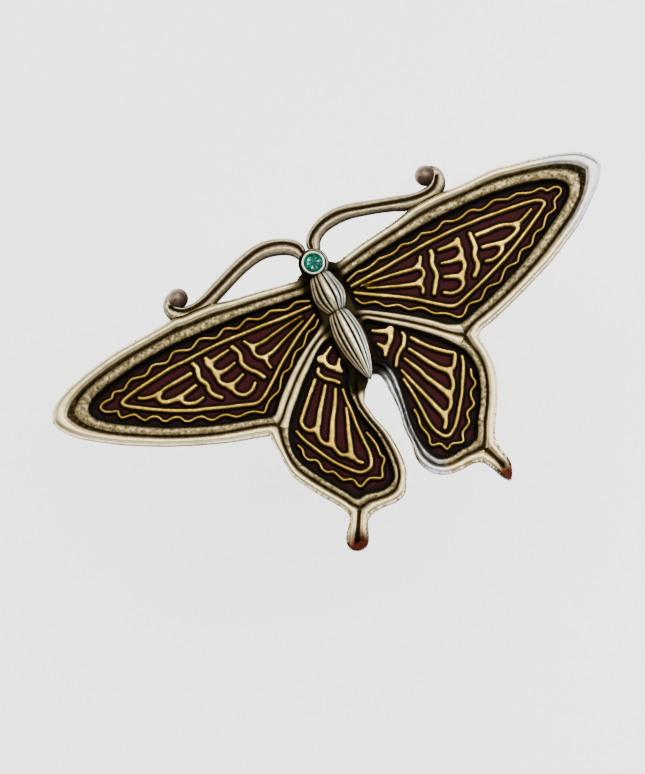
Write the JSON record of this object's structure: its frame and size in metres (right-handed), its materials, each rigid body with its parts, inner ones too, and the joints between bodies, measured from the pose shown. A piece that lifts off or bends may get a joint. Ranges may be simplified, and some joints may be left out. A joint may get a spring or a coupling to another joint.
{
  "type": "brooch",
  "caption": "Butterfly brooch with a cast wing frame, dark enamel cells crossed by gilt wires, a ribbed body, a green stone, curled antennae, and a hinged pin with a turning catch.",
  "frame": {"origin": "bottom centre of the whole brooch, level with the lowest point of the catch tab", "axes": "+Z out of the decorated face, +Y towards the head, +X towards the wing on the right when the face is seen"},
  "size_m": [0.0769, 0.041, 0.0088],
  "materials": {
    "antique_silver": "antiqued cast white metal, warm highlights and dark recesses",
    "back_silver": "satin, lightly tarnished",
    "body_silver": "antiqued, cooler and brighter on the ribs",
    "bezel_silver": "polished lip",
    "gilt_wire": "gilt, with dark patina at the foot",
    "dark_enamel": "glossy dark maroon enamel, nearly black by the walls",
    "green_stone": "faceted, foiled behind",
    "finding_metal": "satin plated",
    "pin_steel": "drawn and polished wire"
  },
  "bodies": {
    "brooch": {"frame": "antique_silver", "back_plate": "back_silver", "right_antenna": "antique_silver", "left_antenna": "antique_silver", "body": "body_silver", "bezel_cup": "bezel_silver", "stone": "green_stone", "joint_bracket": "finding_metal", "joint_rivet": "finding_metal", "catch_bracket": "finding_metal", "right_fore_scallop_wire": "gilt_wire", "right_fore_border_wire": "gilt_wire", "right_fore_vein_fan": "gilt_wire", "right_fore_inner_band": "gilt_wire", "right_fore_middle_claw": "gilt_wire", "right_fore_outer_band": "gilt_wire", "right_fore_tip_claw": "gilt_wire", "right_hind_base_claw": "gilt_wire", "right_hind_band": "gilt_wire", "right_hind_vein_claw": "gilt_wire", "right_hind_border_wire": "gilt_wire", "right_hind_scallop_wire": "gilt_wire", "left_fore_scallop_wire": "gilt_wire", "left_fore_border_wire": "gilt_wire", "left_fore_vein_fan": "gilt_wire", "left_fore_inner_band": "gilt_wire", "left_fore_middle_claw": "gilt_wire", "left_fore_outer_band": "gilt_wire", "left_fore_tip_claw": "gilt_wire", "left_hind_base_claw": "gilt_wire", "left_hind_band": "gilt_wire", "left_hind_vein_claw": "gilt_wire", "left_hind_border_wire": "gilt_wire", "left_hind_scallop_wire": "gilt_wire", "right_fore_enamel": "dark_enamel", "right_hind_enamel": "dark_enamel", "left_fore_enamel": "dark_enamel", "left_hind_enamel": "dark_enamel"},
    "pin": {"pin_stem": "pin_steel"},
    "sleeve": {"catch_sleeve": "finding_metal"}
  },
  "joints": [
    {"name": "pin_swing", "type": "hinge", "parent": "brooch", "child": "pin", "pos_m": [0.01707, 0.00914, 0.00166], "axis": [0, -1, 0], "range_deg": [0, 75]},
    {"name": "sleeve_turn", "type": "hinge", "parent": "brooch", "child": "sleeve", "pos_m": [-0.01693, 0.00914, 0.00166], "axis": [1, 0, 0], "range_deg": [0, 110]}
  ]
}
